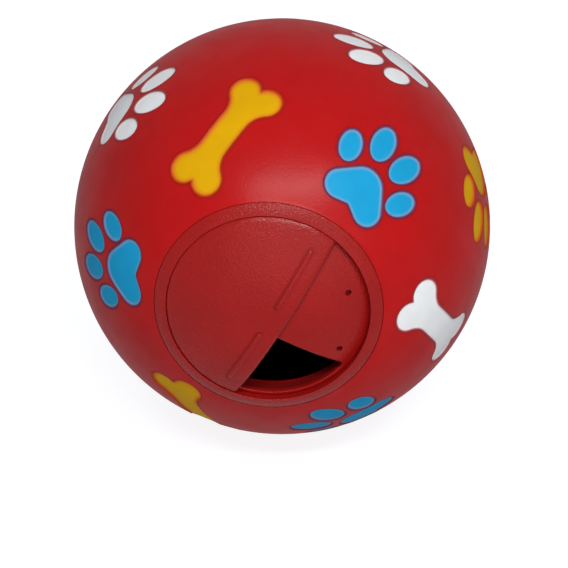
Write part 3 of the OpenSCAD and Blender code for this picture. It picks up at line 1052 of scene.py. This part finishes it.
# %% The click stops' tree
click_tree, start, end = new_tree("click_stops", {
    **MESH, "Count": CLICK_COUNT, "Circle": CLICK_AT * MM, "Level": level(PLATE_DOME, CLICK_AT) * MM,
    "Foot": (CLICK_R - CLICK_SLANT) * MM, "Mouth": CLICK_R * MM, "Depth": CLICK_DEPTH * MM, **FINISH,
}, MESH)
stops = add_node(click_tree, "GeometryNodeMeshCircle", {
    "Vertices": start.outputs["Count"], "Radius": start.outputs["Circle"],
})
stops = add_node(click_tree, "GeometryNodeTransform", {
    "Geometry": stops.outputs["Mesh"], "Translation": vector(click_tree, Z=start.outputs["Level"]),
})
nearest = add_node(click_tree, "GeometryNodeProximity", {
    "Geometry": stops.outputs["Geometry"],
}, target_element="POINTS")
sink = add_node(click_tree, "ShaderNodeMapRange", {
    "Value": nearest.outputs["Distance"],
    "From Min": start.outputs["Foot"],
    "From Max": start.outputs["Mouth"],
    "To Min": start.outputs["Depth"],
    "To Max": 0.0,
})
place = add_node(click_tree, "GeometryNodeInputPosition").outputs[0]
pressed = vectors(click_tree, "SUBTRACT", place, vector(click_tree, Z=sink.outputs["Result"]))
finish_tree(click_tree, set_position(click_tree, start.outputs["Geometry"], pressed), start, end)
print("node tree:", click_tree.name)

# %% The insert in one piece
PORT_TURN = -30.0


def part_of(mesh, wear):
    """A mesh as a part: its points in millimetres, its faces, and its wear and painted shade."""
    values = np.empty(3 * len(mesh.vertices))
    mesh.vertices.foreach_get("co", values)
    return values.reshape(-1, 3) / MM, [list(p.vertices) for p in mesh.polygons], wear


def spun(points, degrees):
    """Points turned about the port's axis."""
    a = math.radians(degrees)
    turn = np.array([[math.cos(a), -math.sin(a), 0], [math.sin(a), math.cos(a), 0], [0, 0, 1]])
    return points @ turn.T


def moulding(name, parts):
    """Several upright parts of points, faces, and wear and painted shade as one object in its place."""
    faces, count = [], 0
    for points, part_faces, _ in parts:
        faces += [[i + count for i in face] for face in part_faces]
        count += len(points)
    points = in_place(spun(np.vstack([p[0] for p in parts]), PORT_TURN))
    wear = np.concatenate([p[2] for p in parts])
    return new_object(name, new_mesh(name, points, faces, plastic, wear=wear))


plate = apply_tree("plate", upright_plate, click_tree, {"Material": plastic})
insert = moulding("insert_moulding", [part_of(plate, plate_wear), rim_part, hub_part])
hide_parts("port_insert")
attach(insert, "ball")
print("insert faces:", len(insert.data.polygons))

# %% [markdown]
# ## The shutter
# The shutter is a half disc that reaches a little past the port's middle, with two low ribs to
# turn it by. A hollow stud behind it goes through the plate, and four springy legs with a
# barbed head keep it there. The disc and the ribs are domed sheets; the stud is turned. The
# disc's straight edge is rolled off further than its round one. The legs repeat round the axis,
# so a node tree copies one of them. A small pip below the disc drops into the click stops.

# %% The half disc and its ribs
SHUTTER_R, SHUTTER_LOW, SHUTTER_HIGH = 32.69, 67.5, 69.55
EDGE_OFFSET, SHUTTER_CORNER = 6.5, 1.2
DISC_EDGE, DISC_STEP = (1.3, 0.40), 1.5
SOFT_W, SOFT_DROP = 1.6, 0.8
RIB_X, RIB_W, RIB_START, RIB_L = 1.0, 2.45, 4.7, 22.4
RIB_SPREAD, RIB_FOOT, RIB_TOP = 0.45, 0.85, BALL_R - 0.02
RIB_EDGE, RIB_STEP, RIB_ROOT = (0.75, RIB_TOP - SHUTTER_HIGH - 0.01), 0.6, 0.6
FOOT_SHADE_LEFT, FOOT_SHADE_RIGHT = 0.5, 0.1


def shutter_outline(q=SHUTTER_CORNER):
    """A disc cut off straight, with two corners of a radius."""
    x = EDGE_OFFSET - q
    y = math.sqrt((SHUTTER_R - q) ** 2 - x ** 2)
    top = math.degrees(math.atan2(y, x))
    return np.vstack([
        arc((x, y), q, 0, top, 8),
        arc((0, 0), SHUTTER_R, top, 360 - top, 120),
        arc((x, -y), q, 360 - top, 360, 8),
    ])


def rib_outline(side, half):
    """A slot shape of a half width, on one side of the axis."""
    near, far = RIB_START + RIB_W / 2, RIB_START + RIB_L - RIB_W / 2
    low, high = sorted((side * near, side * far))
    return np.vstack([arc((RIB_X, high), half, 0, 180, 12), arc((RIB_X, low), half, 180, 360, 12)])


disc_outline = even_steps(shutter_outline(), spacing=0.7)
points, faces, wear = domed_sheet([disc_outline], SHUTTER_LOW, SHUTTER_HIGH, DISC_EDGE, DISC_STEP)
nearness = np.clip((points[:, 0] - EDGE_OFFSET) / SOFT_W + 1, 0, 1)
softened = SOFT_DROP * (1 - np.sqrt(1 - nearness ** 2))
points[:len(points) // 2, 2] -= softened[:len(points) // 2]
disc = (points, faces, np.where(nearness > 0, 0.0, wear))
ribs = []
for side in (-1, 1):
    foot = even_steps(rib_outline(side, RIB_W / 2 + RIB_SPREAD), spacing=0.3)
    points, faces, wear = domed_sheet(
        [foot], SHUTTER_HIGH - RIB_ROOT, RIB_TOP, RIB_EDGE, RIB_STEP, foot=RIB_FOOT
    )
    # The crease at each rib's foot is painted darker, as painted shade, more on the left, the side away
    # from the light.
    foot_shade = np.where(points[:, 0] < RIB_X, FOOT_SHADE_LEFT, FOOT_SHADE_RIGHT)
    ribs.append((points, faces, np.where(wear < 0, wear * foot_shade, wear)))
print("disc points:", len(disc[0]), "rib points:", len(ribs[0][0]))

# %% The legs' tree
legs_tree, start, end = new_tree("springy_legs", {**MESH, "Count": 4, **FINISH}, MESH)
line = add_node(legs_tree, "GeometryNodeMeshLine", {
    "Count": start.outputs["Count"], "Offset": (0.0, 0.0, 0.0),
})
number = add_node(legs_tree, "GeometryNodeInputIndex").outputs[0]
angle = sums(legs_tree, "DIVIDE", sums(legs_tree, "MULTIPLY", number, 2 * math.pi), start.outputs["Count"])
copies = add_node(legs_tree, "GeometryNodeInstanceOnPoints", {
    "Points": line.outputs["Mesh"],
    "Instance": start.outputs["Geometry"],
    "Rotation": rotation(legs_tree, Z=angle),
})
finish_tree(legs_tree, copies.outputs["Instances"], start, end)
print("node tree:", legs_tree.name)

# %% The stud, its legs and the pip
STUD_R, STUD_IN, BARB_R = 4.0, 2.4, 4.7
STUD_TOP, SLOT_TOP, SNAP_Z, STUD_END = 67.7, 63.5, 59.7, 57.7
SLOT_ANGLE, LEG_STEPS, LEG_ROOT = 20.0, 12, 0.3
STUD_CORE, PIP_CORE, PIP_STEPS, PIP_UP = 0.02, 0.01, 24, 0.3


def turned_leg(profile, start_angle, end_angle, steps):
    """A closed profile turned through part of a circle, with its two ends closed."""
    profile = np.asarray(profile)
    count = len(profile)
    points = np.vstack([
        np.column_stack([profile[:, 0] * math.cos(a), profile[:, 0] * math.sin(a), profile[:, 1]])
        for a in np.radians(np.linspace(start_angle, end_angle, steps + 1))
    ])
    faces = []
    for s in range(steps):
        faces += band_faces(count * s, count * (s + 1), count)
    faces += [list(range(count))[::-1], list(range(count * steps, count * (steps + 1)))]
    return points, faces


leg_profile = [
    (STUD_IN, STUD_END), (STUD_R, STUD_END), (BARB_R, SNAP_Z), (STUD_R, SNAP_Z),
    (STUD_R, SLOT_TOP + LEG_ROOT), (STUD_IN, SLOT_TOP + LEG_ROOT),
]
leg_points, leg_faces = turned_leg(leg_profile, SLOT_ANGLE / 2, 90 - SLOT_ANGLE / 2, LEG_STEPS)
one_leg = new_mesh("leg", leg_points * MM, leg_faces)
legs = apply_tree("legs", one_leg, legs_tree, {"Material": plastic})
legs_part = part_of(legs, np.zeros(len(legs.vertices)))
stud_part = turned_ring(
    [(STUD_CORE, SLOT_TOP), (STUD_R, SLOT_TOP), (STUD_R, STUD_TOP), (STUD_CORE, STUD_TOP)], HUB_STEPS
)
pip_profile = [
    (max(PIP_CORE, CLICK_R * math.sin(a)), -CLICK_R * math.cos(a))
    for a in np.radians(np.linspace(0, 80, 8))
]
pip_points, pip_faces, pip_wear = turned_ring(pip_profile + [(PIP_CORE, pip_profile[-1][1])], PIP_STEPS)
pip_level = level(SHUTTER_LOW + CLICK_R - PIP_UP, CLICK_AT)
pip_part = (pip_points + (-CLICK_AT, 0, pip_level), pip_faces, pip_wear)
print("stud points:", len(stud_part[0]), "leg points:", len(legs_part[0]))

# %% The shutter in one piece
shutter = moulding("shutter_moulding", [disc, *ribs, stud_part, legs_part, pip_part])
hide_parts("shutter")
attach(shutter, "shutter")
print("shutter faces:", len(shutter.data.polygons))

# %% [markdown]
# ## Floor and light
# The ball stands on a plain pale floor, white to the camera but for the ball's soft shadow. More
# lamp light could make it white too, but it would bleach the ball, so the whiteness is an
# emission that only the camera, mirrors and glass see. The light that the floor scatters back at
# the ball comes from a duller shade of it. The sky is white in the same way.

# %% The floor
FLOOR_HALF, FLOOR_WHITE = 6, 0.86


def seen_directly(tree):
    """One for a ray from the camera or a mirror or through glass, and nought for scattered light."""
    rays = add_node(tree, "ShaderNodeLightPath").outputs
    seen = sums(tree, "MAXIMUM", rays["Is Camera Ray"], rays["Is Glossy Ray"])
    return sums(tree, "MAXIMUM", seen, rays["Is Transmission Ray"])


floor_finish, tree, shader = new_finish("pale_floor", {
    "Roughness": 0.8, "Specular IOR Level": 0.1,
    "Emission Color": (1.0, 1.0, 1.0, 1.0), "Emission Strength": FLOOR_WHITE,
})
grey = clouded(tree, scale=6.0, detail=2.0, low=(0.27, 0.29, 0.37), high=(0.29, 0.31, 0.39))
plug(tree, shader, {"Base Color": grey})
dull = add_node(tree, "ShaderNodeBsdfDiffuse", {"Color": (0.46, 0.46, 0.47, 1.0)})
choice = add_node(tree, "ShaderNodeMixShader", {
    "Fac": seen_directly(tree), 1: dull.outputs[0], 2: shader.outputs[0],
})
plug(tree, tree.nodes["Material Output"], {"Surface": choice.outputs[0]})
corners = [(x * FLOOR_HALF, y * FLOOR_HALF, 0) for x, y in ((-1, -1), (1, -1), (1, 1), (-1, 1))]
floor = new_object("studio_floor", new_mesh("studio_floor", corners, [[0, 1, 2, 3]], floor_finish))
print("finish:", floor_finish.name)

# %% [markdown]
# The ball's sheen is a wide, low patch above the port, so the key lamp is a wide strip, high in
# front. A broad fill lamp near the camera lights the lower half, and a weak one behind the ball
# keeps its back from going black. The last casts no gloss, which would draw a line along the
# ball's outline. A dim sky does the rest.

# %% The lamps and the sky
SKY_LIGHT, SKY_WHITE = 0.19, 1.0


def strip_lamp(name, direction, distance, width, height, power):
    """A wide soft lamp that looks at the ball from a direction."""
    lamp = bpy.data.objects.new(name, bpy.data.lights.new(name, "AREA"))
    lamp.data.shape = "RECTANGLE"
    lamp.data.size = width
    lamp.data.size_y = height
    lamp.data.energy = power
    towards = Vector(direction).normalized()
    lamp.location = Vector((0, 0, BALL_R * MM)) + towards * distance
    lamp.rotation_euler = towards.to_track_quat("Z", "Y").to_euler()
    bpy.context.scene.collection.objects.link(lamp)
    return lamp


strip_lamp("key_lamp", (0.15, -0.67, 0.72), distance=1.1, width=0.85, height=0.20, power=9.1)
strip_lamp("fill_lamp", (0.20, -0.95, 0.22), distance=1.2, width=1.6, height=0.6, power=5.3)
back_lamp = strip_lamp("back_lamp", (-0.20, 0.75, 0.63), distance=1.3, width=1.4, height=0.8, power=2.0)
back_lamp.visible_glossy = False
world = bpy.data.worlds.new("studio")
world.use_nodes = True
tree = world.node_tree
plug(tree, tree.nodes["Background"], {
    "Color": (0.95, 0.97, 1.0, 1.0),
    "Strength": spread(tree, seen_directly(tree), low=SKY_LIGHT, high=SKY_WHITE, start=0.0, end=1.0),
})
bpy.context.scene.world = world
bpy.context.scene.view_settings.view_transform = "Standard"
